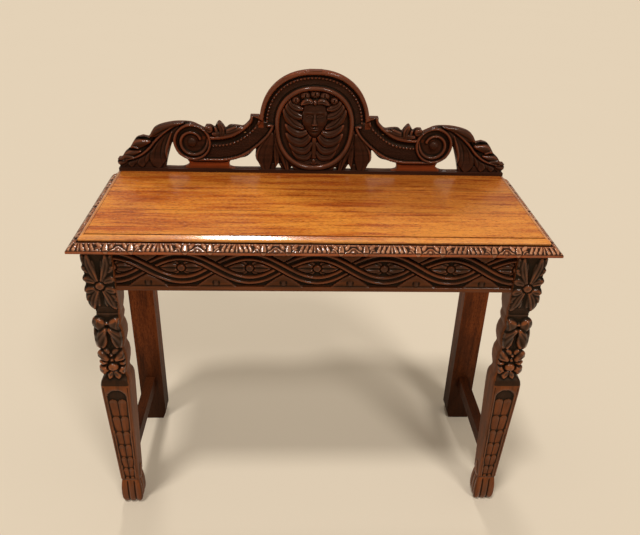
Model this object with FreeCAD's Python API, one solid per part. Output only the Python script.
import FreeCAD, Part
import math
import os

# Carved oak hall table with a crest along the back. Millimetres, +Z up, front towards -Y.
# The origin is on the floor, at the middle of the table's width and depth.

# Whole table
overall_width = 1016.0
overall_depth = 406.0
top_height = 771.0

# Top boards
top_thickness = 20.0
board_setback = 22.0
top_board_shares = (0.355, 0.33, 0.315)
thumb_width = 16.0
end_thumb_width = 10.0
thumb_drop = 1.2
thumb_slope_degrees = 13.0
nose_radius = 3.5
nose_steps = 6
quirk_width = 1.2
quirk_depth = 0.8
tongue_thickness = 6.0
tongue_width = 16.0
tongue_end_margin = 40.0

# Carved edge moulding
moulding_drop = 10.5
moulding_height = 17.5
moulding_fillet = 7.5
moulding_top_setback = 15.0
moulding_hollow = 2.5
moulding_step = 1.2

# Front legs
leg_size = 66.0
leg_setback = 19.0
leg_front_setback = 22.0
foot_height = 80.0
foot_size = 51.0
foot_top_size = 44.0
foot_sole_size = 38.0
foot_flute = 3.2
foot_corner = 9.0
flute_place_share = 0.167
shaft_height = 308.0
shaft_top_size = 66.0
shaft_foot_size = 45.0
shoulder_height = 18.0
shoulder_top_size = 50.0
core_size = 46.0
cluster_height = 82.0
husk_height = 58.0
fruit_height = 28.0
block_foot_height = 24.0
lobe_overlap = 4.0
lobe_share = 0.3
flower_height = 656.0
flower_radius = 9.0
flower_relief = 3.5
leaf_relief = 2.0
panel_border = 6.5
panel_depth = 2.5
panel_end_margin = 12.0
scale_rows = 7
scale_gap = 1.0
scale_lift = 2.2
scale_foot_share = 0.333

# Back legs
back_leg_depth = 55.0
heel_width = 8.0
heel_height = 22.0

# Frieze, rails and stretchers
frieze_height = 109.0
frieze_thickness = 20.0
frieze_setback = 5.0
strand_width = 20.0
strand_swing = 29.0
strand_relief = 3.0
groove_width = 5.5
groove_depth = 1.5
eye_count = 5
eye_spacings = 5.94
eye_height = 697.0
button_radius = 9.0
frieze_strip = 11.0
frieze_step = 1.5
petal_length = 24.0
petal_width = 12.0
petal_share = 0.55
strand_points = 3
side_rail_height = 100.0
side_rail_thickness = 20.0
side_rail_setback = 3.0
back_rail_height = 90.0
back_rail_thickness = 20.0
back_rail_setback = 3.0
stretcher_thickness = 25.0
stretcher_height = 35.0
stretcher_floor_gap = 119.0
tenon_thickness = 9.0
tenon_length = 28.0
tenon_margin = 12.0
stretcher_tenon_length = 16.0
stretcher_tenon_margin = 6.0
mortise_clearance = 0.5

# Glue blocks and screws under the top
block_size = 28.0
block_height = 40.0
screw_radius = 2.2
screw_head_radius = 4.5
screw_head_height = 2.5
screw_bite = 12.0

# Crest
crest_height = 255.0
crest_thickness = 20.0
crest_end_margin = 23.0
crest_rail_height = 8.0
arch_radius = 134.0
arch_fullness = 2.2
arch_fillet = 9.0
arch_bead_place = 16.0
arch_bead = 5.0
shoulder_drop = 20.0
field_depth = 9.0
band_depth = 5.0
bead_rise = 1.5
ear_height = 145.0
ear_width = 21.0
ring_half_width = 97.0
ring_drop = 114.0
ring_width = 12.0
ring_setback = 1.0
scroll_fillet_share = 0.12
scroll_bead_shares = (0.33, 0.41)
scroll_round_share = 0.86
crest_joint_reach = 24.0
volute_radius = 46.0
volute_height = 76.0
volute_rim = 7.0
volute_disc_radius = 29.0
leaf_length = 141.0
leaf_depth = 3.0
rib_depth = 2.0
rib_width = 6.0
neck_depth = 8.0
boss_radius = 12.0
boss_height = 6.0
mask_rise = 9.0
mask_lobe_share = 0.8
mask_base_share = 0.25
dowel_radius = 4.0
dowel_depth = 12.0
dowel_back_margin = 8.0
edge_dowel_radius = 3.0
edge_dowel_length = 36.0
overrun = 5.0

# Worked out from the sizes above
half_width = overall_width / 2
front = -overall_depth / 2
back = overall_depth / 2
board_underside = top_height - top_thickness
board_half = half_width - board_setback
board_front = front + board_setback
top_depth = back - board_front
leg_outer = half_width - leg_setback
leg_inner = leg_outer - leg_size
leg_x = leg_outer - leg_size / 2
leg_front = front + leg_front_setback
leg_y = leg_front + leg_size / 2
leg_back = leg_front + leg_size
back_leg_front = back - back_leg_depth
shaft_top = foot_height + shaft_height
shoulder_top = shaft_top + shoulder_height
husk_bottom = shoulder_top + cluster_height
fruit_bottom = husk_bottom + husk_height
fruit_top = fruit_bottom + fruit_height
frieze_bottom = board_underside - frieze_height
frieze_face = leg_front + frieze_setback
rail_outer = leg_outer - side_rail_setback
rail_inner = rail_outer - side_rail_thickness
back_rail_back = back - back_rail_setback
back_rail_front = back_rail_back - back_rail_thickness
moulding_top = top_height - moulding_drop
moulding_bottom = moulding_top - moulding_height
crest_half = half_width - crest_end_margin
crest_face = back - crest_thickness
crest_base = top_height + crest_rail_height
crest_top = top_height + crest_height
arch_z = crest_top - arch_radius
ear_z = top_height + ear_height
ear_x = arch_radius + ear_width
joint_x = arch_radius + crest_joint_reach
volute_x = crest_half - leaf_length - volute_radius
volute_z = top_height + volute_height
scroll_floor = volute_z - volute_radius
field_face = crest_face + field_depth
band_face = crest_face + band_depth
dowel_y = back - dowel_back_margin


def box(x0, x1, y0, y1, z0, z1):
    return Part.makeBox(x1 - x0, y1 - y0, z1 - z0, FreeCAD.Vector(x0, y0, z0))


def mirrored(shape):
    return shape.mirror(FreeCAD.Vector(0, 0, 0), FreeCAD.Vector(1, 0, 0))


def fused(shapes):
    return shapes[0].multiFuse(shapes[1:]).removeSplitter()


def export(name, shape):
    shape.exportStep("parts/" + name + ".step")
    print(name, len(shape.Solids), "solids", round(shape.Volume / 1000, 1), "cm3", shape.isValid())


# A closed outline in the XZ plane from stretches of points: two points are a line, more are one curve
def outline_wire(stretches, y):
    edges = []
    for points in stretches:
        spots = [FreeCAD.Vector(x, y, z) for x, z in points]
        if len(spots) == 2:
            edges.append(Part.makeLine(spots[0], spots[1]))
        else:
            curve = Part.BSplineCurve()
            curve.interpolate(spots)
            edges.append(curve.toShape())
    return Part.Wire(edges)


def slab(stretches, y0, y1):
    return Part.Face(outline_wire(stretches, y0)).extrude(FreeCAD.Vector(0, y1 - y0, 0))


def polygon_slab(points, y0, y1):
    corners = [FreeCAD.Vector(x, y0, z) for x, z in points]
    return Part.Face(Part.makePolygon(corners + corners[:1])).extrude(FreeCAD.Vector(0, y1 - y0, 0))


# An ellipsoid with its three half lengths, turned in the XZ plane
def lobe(x, y, z, rx, ry, rz, turn=0.0):
    ball = Part.makeSphere(1.0)
    matrix = FreeCAD.Matrix()
    matrix.scale(rx, ry, rz)
    matrix.rotateY(math.radians(turn))
    matrix.move(FreeCAD.Vector(x, y, z))
    return ball.transformGeometry(matrix)


# A square pyramid stump, its two squares centred on (x, y)
def stump(x, y, z0, size0, z1, size1):
    wires = []
    for z, size in ((z0, size0), (z1, size1)):
        half = size / 2
        turns = ((-1, -1), (1, -1), (1, 1), (-1, 1))
        corners = [FreeCAD.Vector(x + sx * half, y + sy * half, z) for sx, sy in turns]
        wires.append(Part.makePolygon(corners + corners[:1]))
    return Part.makeLoft(wires, True, True)


# Top: three boards with loose tongues, a sunk thumb edge at the front and at both ends
def board_limits():
    limits = [board_front]
    for share in top_board_shares:
        limits.append(limits[-1] + share * top_depth)
    return limits


# The thumb falls from a small groove to a rounded nose. Inward distance and height from the board's edge.
def thumb_profile(width):
    slope = math.radians(thumb_slope_degrees)
    head = width - quirk_width
    centre = -thumb_drop - (head - nose_radius) * math.tan(slope) - nose_radius / math.cos(slope)
    points = [(-overrun, centre)]
    for step in range(nose_steps + 1):
        angle = (math.pi / 2 - slope) * step / nose_steps
        points.append((nose_radius * (1 - math.cos(angle)), centre + nose_radius * math.sin(angle)))
    points.append((head, -thumb_drop))
    points.append((head, -thumb_drop - quirk_depth))
    points.append((width, -thumb_drop - quirk_depth))
    points.append((width, overrun))
    points.append((-overrun, overrun))
    return points


def thumb_cutters():
    profile = thumb_profile(thumb_width)
    corners = [FreeCAD.Vector(-board_half - overrun, board_front + a, top_height + b) for a, b in profile]
    face = Part.Face(Part.makePolygon(corners + corners[:1]))
    cutters = [face.extrude(FreeCAD.Vector(overall_width, 0, 0))]
    profile = thumb_profile(end_thumb_width)
    corners = [FreeCAD.Vector(board_half - a, board_front - overrun, top_height + b) for a, b in profile]
    face = Part.Face(Part.makePolygon(corners + corners[:1]))
    end = face.extrude(FreeCAD.Vector(0, top_depth + 2 * overrun, 0))
    return cutters + [end, mirrored(end)]


def tongue(y):
    reach = board_half - tongue_end_margin
    middle = board_underside + top_thickness / 2
    half = tongue_thickness / 2
    return box(-reach, reach, y - tongue_width / 2, y + tongue_width / 2, middle - half, middle + half)


def top_boards():
    limits = board_limits()
    tongues = [tongue(y) for y in limits[1:-1]]
    cutters = thumb_cutters() + tongues + top_screws() + crest_dowels()
    boards = {}
    for name, y0, y1 in zip(("front", "middle", "rear"), limits[:-1], limits[1:]):
        board = box(-board_half, board_half, y0, y1, board_underside, top_height)
        boards["top_board_" + name] = board.cut(cutters).removeSplitter()
    boards["top_tongues"] = Part.makeCompound(tongues)
    return boards


# Edge moulding: a fillet below and a carved slope above, rebated over the board's lower edge.
# The section is in distance from the moulding's outer face and height.
def moulding_section():
    slope_foot = moulding_bottom + moulding_fillet
    middle = (moulding_top_setback + moulding_step) / 2
    mid_height = (slope_foot + moulding_top) / 2
    return (
        (0, moulding_bottom),
        (0, slope_foot),
        (moulding_step, slope_foot),
        (middle - moulding_hollow, mid_height),
        (moulding_top_setback, moulding_top),
        (board_setback, moulding_top),
        (board_setback, board_underside),
        (leg_setback, board_underside),
        (leg_setback, moulding_bottom),
    )


def edge_mouldings():
    section = moulding_section()
    corners = [FreeCAD.Vector(-half_width, front + a, z) for a, z in section]
    face = Part.Face(Part.makePolygon(corners + corners[:1]))
    long_piece = face.extrude(FreeCAD.Vector(overall_width, 0, 0))
    corners = [FreeCAD.Vector(half_width - a, front, z) for a, z in section]
    face = Part.Face(Part.makePolygon(corners + corners[:1]))
    side_piece = face.extrude(FreeCAD.Vector(0, overall_depth, 0))
    reach = board_setback + overrun
    mitre = Part.Face(Part.makePolygon([
        FreeCAD.Vector(half_width + overrun, front - overrun, moulding_bottom - overrun),
        FreeCAD.Vector(half_width - reach, front + reach, moulding_bottom - overrun),
        FreeCAD.Vector(half_width + overrun, front + reach, moulding_bottom - overrun),
        FreeCAD.Vector(half_width + overrun, front - overrun, moulding_bottom - overrun),
    ])).extrude(FreeCAD.Vector(0, 0, moulding_height + 2 * overrun))
    beyond = box(half_width - reach, half_width + overrun, front + reach, back + overrun,
                 moulding_bottom - overrun, moulding_top + overrun)
    side = side_piece.common(mitre.fuse(beyond))
    return {
        "edge_moulding_front": long_piece.cut([mitre, mirrored(mitre)]),
        "edge_moulding_right": side,
        "edge_moulding_left": mirrored(side),
    }


# Front leg: block, three carved tiers, shoulder, tapered shaft with sunk panel, fluted foot
flower_spread_share = 0.5
flower_leaf_shares = ((-1, 35, 0.36, 0.62), (1, -32, 0.34, 0.62))
flower_drop_shares = (0.3, 0.7)


def leg_flower():
    span = leg_size / 2
    spread = span * flower_spread_share
    centre = FreeCAD.Vector(leg_x, leg_front + flower_radius - flower_relief, flower_height)
    petals = [Part.makeSphere(flower_radius, centre)]
    for side in (-1, 1):
        for up, turn, share_x, share_z in flower_leaf_shares:
            petals.append(lobe(leg_x + side * spread, leg_front, flower_height + up * spread,
                               span * share_x, leaf_relief, span * share_z, -side * turn))
    share_x, share_z = flower_drop_shares
    petals.append(lobe(leg_x, leg_front, flower_height - span, span * share_x, leaf_relief, span * share_z))
    shapes = []
    for petal in petals:
        shapes.append(petal)
        turned = petal.copy()
        turned.rotate(FreeCAD.Vector(leg_x, leg_y, 0), FreeCAD.Vector(0, 0, 1), 90)
        shapes.append(turned)
    return shapes


# One tier: a ring of bulging lobes at the corners of the leg
def leg_tier(z0, z1, width):
    radius = width * lobe_share
    offset = width / 2 - radius
    half_tall = (z1 - z0 + lobe_overlap) / 2
    middle = (z0 + z1) / 2
    return [
        lobe(leg_x + sx * offset, leg_y + sy * offset, middle, radius, radius, half_tall)
        for sx in (-1, 1) for sy in (-1, 1)
    ]


def leg_carving():
    shapes = leg_tier(fruit_bottom, fruit_top - lobe_overlap, leg_size)
    shapes += leg_tier(husk_bottom, fruit_bottom, leg_size)
    shapes += leg_tier(shoulder_top + lobe_overlap, husk_bottom, leg_size)
    return shapes


def shaft():
    return stump(leg_x, leg_y, foot_height, shaft_foot_size, shaft_top, shaft_top_size)


# The sunk panel on the shaft's front, drawn upright and then leaned to the shaft's taper
def panel_shapes():
    lean = math.atan((shaft_top_size - shaft_foot_size) / 2 / shaft_height)
    length = shaft_height / math.cos(lean)
    low = shaft_foot_size / 2 - panel_border
    high = shaft_top_size / 2 - panel_border
    z0 = panel_end_margin
    z1 = length - panel_end_margin - high
    sunk = slab((
        ((-low, z0), (low, z0)),
        ((low, z0), (high, z1)),
        ((high, z1), (0, z1 + high), (-high, z1)),
        ((-high, z1), (-low, z0)),
    ), -overrun, panel_depth)
    scales = []
    pitch = (z1 - z0) / scale_rows
    for row in range(scale_rows):
        foot = z0 + row * pitch
        share = (row + 0.5) / scale_rows
        half = low + share * (high - low)
        width = half - scale_gap
        head = foot + pitch - scale_gap
        for side in (-1, 1):
            middle = side * half / 2
            outline = slab((
                ((middle - width / 2, foot), (middle + width / 2, foot)),
                ((middle + width / 2, foot), (middle + width / 2, head - width / 2)),
                ((middle + width / 2, head - width / 2), (middle, head),
                 (middle - width / 2, head - width / 2)),
                ((middle - width / 2, head - width / 2), (middle - width / 2, foot)),
            ), panel_depth - scale_lift, panel_depth)
            wedge = Part.Face(Part.makePolygon([
                FreeCAD.Vector(middle - width, panel_depth, foot),
                FreeCAD.Vector(middle - width, panel_depth, head),
                FreeCAD.Vector(middle - width, panel_depth - scale_lift, head),
                FreeCAD.Vector(middle - width, panel_depth - scale_lift * scale_foot_share, foot),
                FreeCAD.Vector(middle - width, panel_depth, foot),
            ])).extrude(FreeCAD.Vector(2 * width, 0, 0))
            scales.append(outline.common(wedge))
    placed = []
    for shape in [sunk] + scales:
        shape.rotate(FreeCAD.Vector(0, 0, 0), FreeCAD.Vector(1, 0, 0), math.degrees(lean))
        shape.translate(FreeCAD.Vector(leg_x, leg_y - shaft_foot_size / 2, foot_height))
        placed.append(shape)
    return placed[0], placed[1:]


def foot():
    waist = foot_height / 2
    body = stump(leg_x, leg_y, 0, foot_sole_size, waist, foot_size)
    body = body.fuse(stump(leg_x, leg_y, waist, foot_size, foot_height, foot_top_size))
    flutes = []
    for turn in range(4):
        for side in (-1, 1):
            flute = Part.makeCylinder(foot_flute, foot_height, FreeCAD.Vector(
                leg_x + side * foot_size * flute_place_share, leg_y - foot_size / 2, 0))
            flute.rotate(FreeCAD.Vector(leg_x, leg_y, 0), FreeCAD.Vector(0, 0, 1), 90 * turn)
            flutes.append(flute)
    corners = Part.makeBox(foot_size, foot_size, foot_height,
                           FreeCAD.Vector(leg_x - foot_size / 2, leg_y - foot_size / 2, 0))
    upright = [edge for edge in corners.Edges if edge.BoundBox.ZLength > waist]
    return body.cut(flutes).common(corners.makeFillet(foot_corner, upright))


def front_leg_body():
    block_bottom = fruit_top + block_foot_height
    pieces = [
        box(leg_inner, leg_outer, leg_front, leg_back, block_bottom, board_underside),
        stump(leg_x, leg_y, fruit_top, core_size, block_bottom, leg_size),
        box(leg_x - core_size / 2, leg_x + core_size / 2, leg_y - core_size / 2, leg_y + core_size / 2,
            shoulder_top, fruit_top),
        stump(leg_x, leg_y, shaft_top, shaft_top_size, shoulder_top, shoulder_top_size),
        foot(),
    ]
    sunk, scales = panel_shapes()
    pieces.append(shaft().cut(sunk))
    return fused(pieces + scales + leg_carving() + leg_flower())


def front_legs():
    leg = front_leg_body().cut([frieze_tenon(mortise_clearance), side_rail_tenon(-1, mortise_clearance),
                                stretcher_tenon(-1, mortise_clearance)])
    return {"front_leg_right": leg, "front_leg_left": mirrored(leg)}


def back_legs():
    leg = box(leg_inner, leg_outer, back_leg_front, back, 0, board_underside)
    heel = polygon_slab(((leg_inner - overrun, -overrun), (leg_inner + heel_width, -overrun),
                         (leg_inner + heel_width, 0), (leg_inner, heel_height),
                         (leg_inner - overrun, heel_height)), back_leg_front - overrun, back + overrun)
    leg = leg.cut([heel, side_rail_tenon(1, mortise_clearance), back_rail_tenon(mortise_clearance),
                   stretcher_tenon(1, mortise_clearance)])
    return {"back_leg_right": leg, "back_leg_left": mirrored(leg)}


# Tenons: each is a box for the right-hand end; its mortise is the same box made longer by the clearance
def frieze_tenon(extra=0):
    y = frieze_face + frieze_step + frieze_thickness / 2
    return box(leg_inner - (0 if extra else tenon_length), leg_inner + tenon_length + extra,
               y - tenon_thickness / 2, y + tenon_thickness / 2,
               frieze_bottom + tenon_margin, board_underside - tenon_margin)


def side_rail_tenon(end, extra=0):
    x = (rail_outer + rail_inner) / 2
    seat = leg_back if end < 0 else back_leg_front
    inward = 0 if extra else tenon_thickness
    y0, y1 = sorted((seat - end * inward, seat + end * (tenon_thickness + extra)))
    return box(x - tenon_thickness / 2, x + tenon_thickness / 2, y0, y1,
               board_underside - side_rail_height + tenon_margin, board_underside - tenon_margin)


def back_rail_tenon(extra=0):
    y = (back_rail_back + back_rail_front) / 2
    return box(leg_inner - (0 if extra else tenon_length), leg_inner + tenon_length + extra,
               y - tenon_thickness / 2, y + tenon_thickness / 2,
               board_underside - back_rail_height + tenon_margin, board_underside - tenon_margin)


def stretcher_tenon(end, extra=0):
    seat = leg_y + shaft_foot_size / 2 if end < 0 else back_leg_front
    inward = 0 if extra else stretcher_tenon_length
    y0, y1 = sorted((seat - end * inward, seat + end * (stretcher_tenon_length + extra)))
    return box(leg_x - tenon_thickness / 2, leg_x + tenon_thickness / 2, y0, y1,
               stretcher_floor_gap + stretcher_tenon_margin,
               stretcher_floor_gap + stretcher_height - stretcher_tenon_margin)


# Frieze: two strands that cross in a wave, an eye between each pair of crossings
def eye_pitch():
    return 2 * leg_inner / eye_spacings


def strand(phase, width, y0, y1):
    pitch = eye_pitch()
    steps = strand_points * eye_count
    upper = []
    lower = []
    for step in range(-steps, steps + 1):
        x = leg_inner * step / steps
        angle = math.pi * x / pitch
        slope = -strand_swing * math.pi / pitch * math.sin(angle) * phase
        z = eye_height + phase * strand_swing * math.cos(angle)
        reach = width / 2 / math.hypot(1, slope)
        upper.append((x - slope * reach, z + reach))
        lower.append((x + slope * reach, z - reach))
    return slab((upper, (upper[-1], lower[-1]), lower[::-1], (lower[0], upper[0])), y0, y1)


def frieze_eyes():
    shapes = []
    seat = frieze_face + frieze_step + strand_relief
    for number in range(-(eye_count // 2), eye_count // 2 + 1):
        x = number * eye_pitch()
        centre = FreeCAD.Vector(x, frieze_face, eye_height)
        rise = strand_relief + frieze_step
        shapes.append(Part.makeCylinder(button_radius, rise, centre, FreeCAD.Vector(0, 1, 0)))
        for side in (-1, 1):
            shapes.append(lobe(x + side * petal_length, seat, eye_height,
                               petal_length * petal_share, strand_relief, petal_width / 2))
    return shapes


def front_frieze():
    ground = frieze_face + strand_relief
    rear = ground + frieze_thickness
    board = box(-leg_inner, leg_inner, ground, rear, frieze_bottom, board_underside)
    strip = box(-leg_inner, leg_inner, frieze_face, ground, frieze_bottom, frieze_bottom + frieze_strip)
    window = box(-leg_inner, leg_inner, frieze_face, rear, frieze_bottom, board_underside)
    bands = []
    for phase in (-1, 1):
        band = strand(phase, strand_width, frieze_face, ground)
        groove = strand(phase, groove_width, frieze_face - overrun, frieze_face + groove_depth)
        bands.append(band.cut(groove).common(window))
    tenon = frieze_tenon()
    return {"front_frieze": fused([board, strip] + bands + frieze_eyes() + [tenon, mirrored(tenon)])}


def rails():
    side = box(rail_inner, rail_outer, leg_back, back_leg_front,
               board_underside - side_rail_height, board_underside)
    side = fused([side, side_rail_tenon(-1), side_rail_tenon(1)])
    rear = box(-leg_inner, leg_inner, back_rail_front, back_rail_back,
               board_underside - back_rail_height, board_underside)
    tenon = back_rail_tenon()
    return {
        "side_rail_right": side,
        "side_rail_left": mirrored(side),
        "back_rail": fused([rear, tenon, mirrored(tenon)]),
    }


# The stretcher is centred on the legs and scribed to the tapered back of the front leg
def side_stretchers():
    half = stretcher_thickness / 2
    bar = box(leg_x - half, leg_x + half, leg_y, back_leg_front,
              stretcher_floor_gap, stretcher_floor_gap + stretcher_height)
    bar = bar.cut(shaft())
    bar = fused([bar, stretcher_tenon(-1), stretcher_tenon(1)])
    return {"side_stretcher_right": bar, "side_stretcher_left": mirrored(bar)}


# Glue blocks stand in the corners of the frame and at the middle of the side rails
def block_places():
    front_y = frieze_face + strand_relief + frieze_thickness
    rear_y = back_rail_front - block_size
    middle_y = (leg_back + back_leg_front - block_size) / 2
    corner_x = leg_inner - block_size
    places = [(corner_x, front_y), (corner_x, rear_y), (rail_inner - block_size, middle_y)]
    return places + [(-x - block_size, y) for x, y in places]


def top_blocks():
    z = board_underside - block_height
    blocks = []
    for x, y in block_places():
        blocks.append(Part.makeBox(block_size, block_size, block_height, FreeCAD.Vector(x, y, z)))
    return {"top_blocks": Part.makeCompound([block.cut(top_screws()) for block in blocks])}


def top_screws():
    z = board_underside - block_height
    screws = []
    for x, y in block_places():
        seat = FreeCAD.Vector(x + block_size / 2, y + block_size / 2, z)
        head = Part.makeCone(screw_head_radius, screw_radius, screw_head_height, seat)
        shank = Part.makeCylinder(screw_radius, block_height + screw_bite, seat)
        screws.append(head.fuse(shank).removeSplitter())
    return screws


# Crest. The arch is a slightly squared half round: its outline at any radius comes from one formula
def arch_points(radius, count=16):
    points = []
    for step in range(count + 1):
        angle = math.pi * step / count
        across = math.cos(angle)
        up = math.sin(angle)
        size = (abs(across) ** arch_fullness + abs(up) ** arch_fullness) ** (-1 / arch_fullness)
        points.append((radius * size * across, arch_z + radius * size * up))
    return points


def arch_slab(radius, y0, y1):
    curve = arch_points(radius)
    return slab((curve, (curve[-1], curve[0])), y0, y1)


# The ring round the mask: the arch's own curve above, drawn in to a blunt point below
ring_lower_shares = ((0.97, 0.22), (0.88, 0.43), (0.72, 0.66), (0.5, 0.84), (0.26, 0.95), (0.0, 1.0))


def ring_slab(inset, y0, y1):
    radius = ring_half_width - inset
    drop = ring_drop - inset
    low = [(a * radius, arch_z - b * drop) for a, b in ring_lower_shares]
    low = [(radius, arch_z)] + low + [(-x, z) for x, z in low[-2::-1]] + [(-radius, arch_z)]
    return slab((arch_points(radius), low[::-1]), y0, y1)


# Scroll band from the ear down to the volute.
# Shares run from the arch to the volute and from its foot to the ear.
scroll_upper_shares = ((0.128, 0.991), (0.14, 0.89), (0.183, 0.81), (0.244, 0.735), (0.329, 0.65),
                       (0.433, 0.58), (0.573, 0.54), (0.756, 0.52))
scroll_lower_shares = ((-0.16, 0.75), (-0.11, 0.58), (-0.043, 0.435), (0.055, 0.28), (0.177, 0.15),
                       (0.33, 0.05), (0.537, -0.01), (0.78, -0.01))

# The neck's head on the band, its reach under the volute and the dowels' places along the leaves
neck_shares = (0.38, 0.1)
neck_reach_share = 0.333
leaf_dowel_share = 0.5
inner_dowel_share = 0.84


def scroll_place(share_x, share_z):
    return arch_radius + share_x * (volute_x - arch_radius), scroll_floor + share_z * (ear_z - scroll_floor)


def scroll_line(share):
    points = []
    for high, low in zip(scroll_upper_shares, scroll_lower_shares):
        x, z = scroll_place(high[0] + share * (low[0] - high[0]), high[1] + share * (low[1] - high[1]))
        points.append((x, z))
    return points


def scroll_strip(share0, share1, y0, y1):
    upper = scroll_line(share0)
    lower = scroll_line(share1)
    return slab((upper, (upper[-1], lower[-1]), lower[::-1], (lower[0], upper[0])), y0, y1)


def scroll_band():
    return [
        scroll_strip(0, 1, band_face, back),
        scroll_strip(0, scroll_fillet_share, crest_face, band_face),
        scroll_strip(scroll_bead_shares[0], scroll_bead_shares[1], band_face - bead_rise, band_face),
        scroll_strip(scroll_round_share, 1, crest_face, band_face),
    ]


# Leaf outlines, in shares of the leaf's length from the volute and of the height of its volute's crown
outer_leaf_shares = (
    ((-0.42, 0.98), (-0.2, 1.02), (0.0, 1.01), (0.2, 0.95), (0.33, 0.85), (0.4, 0.7)),
    ((0.4, 0.7), (0.47, 0.73), (0.57, 0.7), (0.68, 0.58), (0.73, 0.48)),
    ((0.73, 0.48), (0.82, 0.42), (0.9, 0.3), (0.97, 0.26), (1.0, 0.17), (0.93, 0.0)),
    ((0.93, 0.0), (0.17, 0.0)),
    ((0.17, 0.0), (0.13, 0.22), (0.08, 0.42), (0.02, 0.52)),
    ((0.02, 0.52), (-0.42, 0.98)),
)
leaf_rib_shares = (
    ((-0.1, 0.93), (0.12, 0.8), (0.32, 0.6), (0.52, 0.4), (0.78, 0.22)),
    ((-0.06, 0.82), (0.12, 0.64), (0.24, 0.44), (0.36, 0.1)),
)


def leaf_place(share_x, share_z):
    crown = volute_z + volute_radius + leaf_depth - crest_base
    return crest_half - leaf_length + share_x * leaf_length, crest_base + share_z * crown


def outer_leaf():
    outline = [[leaf_place(a, b) for a, b in stretch] for stretch in outer_leaf_shares]
    shapes = [slab(outline, crest_face + leaf_depth, back)]
    for shares in leaf_rib_shares:
        upper = [leaf_place(a, b) for a, b in shares]
        lower = [(x - rib_width / 2, z - rib_width) for x, z in upper]
        outline = (upper, (upper[-1], lower[-1]), lower[::-1], (lower[0], upper[0]))
        shapes.append(slab(outline, crest_face + leaf_depth - rib_depth, crest_face + leaf_depth))
    return shapes


# Buds along the top of the scroll band, in shares of the scroll's places
bud_shares = (
    ((0.2, 0.72), (0.24, 0.76), (0.34, 0.775), (0.45, 0.765), (0.5, 0.7)),
    ((0.5, 0.7), (0.55, 0.79), (0.6, 0.85), (0.65, 0.8), (0.68, 0.71)),
    ((0.68, 0.71), (0.74, 0.77), (0.82, 0.765), (0.9, 0.7), (0.92, 0.6)),
    ((0.92, 0.6), (0.7, 0.5)),
    ((0.7, 0.5), (0.4, 0.56)),
    ((0.4, 0.56), (0.2, 0.72)),
)


def buds():
    outline = [[scroll_place(a, b) for a, b in stretch] for stretch in bud_shares]
    return slab(outline, band_face, back)


# The neck carries the scroll band on the base rail, with a hollow at each end
def neck():
    left, head = scroll_place(*neck_shares)
    right = volute_x + volute_radius * neck_reach_share
    inset = rib_width
    middle = (crest_base + head) / 2
    return slab((
        ((left - inset, crest_base), (right + inset, crest_base)),
        ((right + inset, crest_base), (right, middle), (right + inset, head)),
        ((right + inset, head), (left - inset, head)),
        ((left - inset, head), (left, middle), (left - inset, crest_base)),
    ), crest_face + neck_depth, back)


def volute():
    spot = FreeCAD.Vector(volute_x, back, volute_z)
    ahead = FreeCAD.Vector(0, -1, 0)
    plate = Part.makeCylinder(volute_radius, crest_thickness - band_depth, spot, ahead)
    rim = Part.makeCylinder(volute_radius, crest_thickness, spot, ahead)
    rim = rim.cut(Part.makeCylinder(volute_radius - volute_rim, crest_thickness, spot, ahead))
    disc = Part.makeCylinder(volute_disc_radius, crest_thickness - leaf_depth, spot, ahead)
    return [plate, rim, disc]


def half_space(inside):
    reach = joint_x if inside else overall_width
    start = -joint_x if inside else joint_x
    return box(start, reach, front, back + overrun, 0, crest_top + overrun)


def crest_wings():
    body = fused(scroll_band() + [outer_leaf()[0], buds(), neck()] + volute() + outer_leaf()[1:])
    stock = box(0, crest_half, crest_face, back, crest_base, crest_top)
    clean = body.common(half_space(False)).common(stock)
    wing = clean.cut([boss_blank()] + crest_dowels() + edge_dowels())
    return {"crest_wing_right": wing, "crest_wing_left": mirrored(wing)}


# Inner leaves between the ring and the scroll band, in shares of the arch radius and its centre's height
inner_leaf_shares = (
    ((0.3, 0.0), (0.97, 0.0)),
    ((0.97, 0.0), (1.06, 0.15), (1.09, 0.32), (1.06, 0.48), (0.96, 0.68), (0.86, 0.83), (0.8, 0.92)),
    ((0.8, 0.92), (0.3, 0.92)),
    ((0.3, 0.92), (0.3, 0.0)),
)
leaf_notch_shares = (
    ((0.58, -0.02), (0.62, 0.13), (0.7, -0.02)),
    ((0.36, -0.02), (0.4, 0.06), (0.44, -0.02)),
)


def inner_leaf_place(share_x, share_z):
    return share_x * arch_radius, crest_base + share_z * (arch_z - crest_base)


def inner_leaves():
    outline = [[inner_leaf_place(a, b) for a, b in stretch] for stretch in inner_leaf_shares]
    leaf = slab(outline, crest_face + leaf_depth, back)
    notches = []
    for triangle in leaf_notch_shares:
        corners = [inner_leaf_place(a, b) for a, b in triangle]
        notches.append(polygon_slab(corners, crest_face - overrun, back + overrun))
    return leaf.cut(notches)


def ear():
    fillet_floor = scroll_place(0, scroll_lower_shares[0][1])[1]
    return box(arch_radius - arch_fillet, ear_x, crest_face, back, fillet_floor, ear_z)


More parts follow.
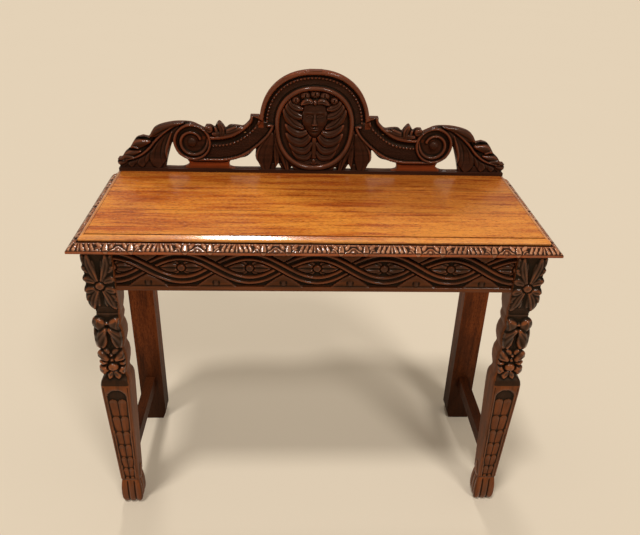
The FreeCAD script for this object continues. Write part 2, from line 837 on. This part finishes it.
def crest_centre():
    inner = arch_radius - arch_fillet
    bead_outer = arch_radius - arch_bead_place
    plate = arch_slab(arch_radius, band_face, back).fuse(
        box(-arch_radius, arch_radius, band_face, back, arch_z - shoulder_drop, arch_z))
    fillet = arch_slab(arch_radius, crest_face, band_face).cut(arch_slab(inner, crest_face, band_face))
    bead = arch_slab(bead_outer, band_face - bead_rise, band_face)
    bead = bead.cut(arch_slab(bead_outer - arch_bead, band_face - bead_rise, band_face))
    leaves = inner_leaves()
    scroll = fused(scroll_band()).common(half_space(True))
    body = fused([plate, fillet, bead, ear(), mirrored(ear()), leaves, mirrored(leaves),
                  scroll, mirrored(scroll)])
    ring = ring_slab(0, crest_face + ring_setback, back)
    well = ring_slab(ring_width, crest_face - overrun, field_face)
    body = fused([body, ring]).cut(well)
    clean = body.common(box(-joint_x, joint_x, front, back, crest_base, crest_top))
    return {"crest_centre": clean.cut(crest_dowels() + edge_dowels())}


def crest_rail():
    rail = box(-crest_half + leaf_depth, crest_half - leaf_depth, crest_face, back, top_height, crest_base)
    return {"crest_rail": rail.cut(crest_dowels())}


# Carved mask: forehead leaves, brows, nose, cheeks and three tiers of leaf below, around a middle stem.
# Each row holds the place across and up, the half sizes and the turn, in shares of the ring's half width.
mask_middle_shares = (
    (0.0, 0.76, 0.14, 0.09, 0),
    (0.0, 0.52, 0.1, 0.12, 0),
    (0.0, 0.2, 0.1, 0.28, 0),
    (0.0, -0.52, 0.08, 0.36, 0),
    (0.0, -0.92, 0.13, 0.09, 0),
)
mask_side_shares = (
    (0.26, 0.76, 0.12, 0.1, 10),
    (0.5, 0.68, 0.12, 0.1, 30),
    (0.24, 0.5, 0.24, 0.11, 8),
    (0.56, 0.42, 0.2, 0.07, 25),
    (0.24, 0.2, 0.1, 0.08, 0),
    (0.46, 0.02, 0.32, 0.36, 0),
    (0.44, -0.3, 0.36, 0.12, 20),
    (0.42, -0.56, 0.34, 0.12, 22),
    (0.32, -0.78, 0.24, 0.1, 24),
)


def crest_mask():
    unit = ring_half_width - ring_width
    rows = [(x, z, rx, rz, turn) for x, z, rx, rz, turn in mask_middle_shares]
    for side in (-1, 1):
        rows += [(side * x, z, rx, rz, side * turn) for x, z, rx, rz, turn in mask_side_shares]
    swell = mask_rise * mask_lobe_share
    shapes = [lobe(x * unit, field_face, arch_z + z * unit, rx * unit, swell, rz * unit, -turn)
              for x, z, rx, rz, turn in rows]
    inset = ring_width + 2 * mortise_clearance
    base = ring_slab(inset, field_face - mask_rise * mask_base_share, field_face)
    window = ring_slab(inset, field_face - mask_rise, field_face)
    return {"crest_mask": fused([base] + shapes).common(window)}


# A turned button in each volute, let into the disc by a spigot
def boss_blank():
    seat = crest_face + leaf_depth
    return Part.makeCylinder(boss_radius / 2, boss_height, FreeCAD.Vector(volute_x, seat, volute_z),
                             FreeCAD.Vector(0, 1, 0))


def crest_bosses():
    seat = crest_face + leaf_depth
    rise = boss_height
    dome_radius = (boss_radius * boss_radius + rise * rise) / (2 * rise)
    ball = Part.makeSphere(dome_radius, FreeCAD.Vector(volute_x, seat - rise + dome_radius, volute_z))
    dome = ball.common(box(volute_x - boss_radius, volute_x + boss_radius, seat - rise, seat,
                           volute_z - boss_radius, volute_z + boss_radius))
    boss = fused([dome, boss_blank()])
    return {"crest_bosses": Part.makeCompound([boss, mirrored(boss)])}


# Dowels through the base rail: into the rear board below and the crest above
def dowel_places():
    leaf_x = leaf_place(leaf_dowel_share, 0)[0]
    neck_x = (scroll_place(*neck_shares)[0] + volute_x) / 2
    inner_x = inner_leaf_place(inner_dowel_share, 0)[0]
    return [side * x for x in (inner_x, neck_x, leaf_x) for side in (-1, 1)]


def crest_dowels():
    length = 2 * dowel_depth + crest_rail_height
    seats = [FreeCAD.Vector(x, dowel_y, top_height - dowel_depth) for x in dowel_places()]
    return [Part.makeCylinder(dowel_radius, length, seat) for seat in seats]


edge_dowel_shares = (0.32, 0.62)


def edge_dowels():
    dowels = []
    for share in edge_dowel_shares:
        z = scroll_place(0, share)[1]
        for side in (-1, 1):
            start = FreeCAD.Vector(side * joint_x - edge_dowel_length / 2, dowel_y, z)
            along = FreeCAD.Vector(1, 0, 0)
            dowels.append(Part.makeCylinder(edge_dowel_radius, edge_dowel_length, start, along))
    return dowels


def main():
    os.makedirs("parts", exist_ok=True)
    nodes = {}
    for maker in (top_boards, edge_mouldings, front_legs, back_legs, front_frieze, rails, side_stretchers,
                  top_blocks, crest_rail, crest_centre, crest_wings, crest_mask, crest_bosses):
        nodes.update(maker())
    nodes["top_screws"] = Part.makeCompound(top_screws())
    nodes["crest_dowels"] = Part.makeCompound(crest_dowels())
    nodes["crest_edge_dowels"] = Part.makeCompound(edge_dowels())
    for name, shape in nodes.items():
        export(name, shape)


main()
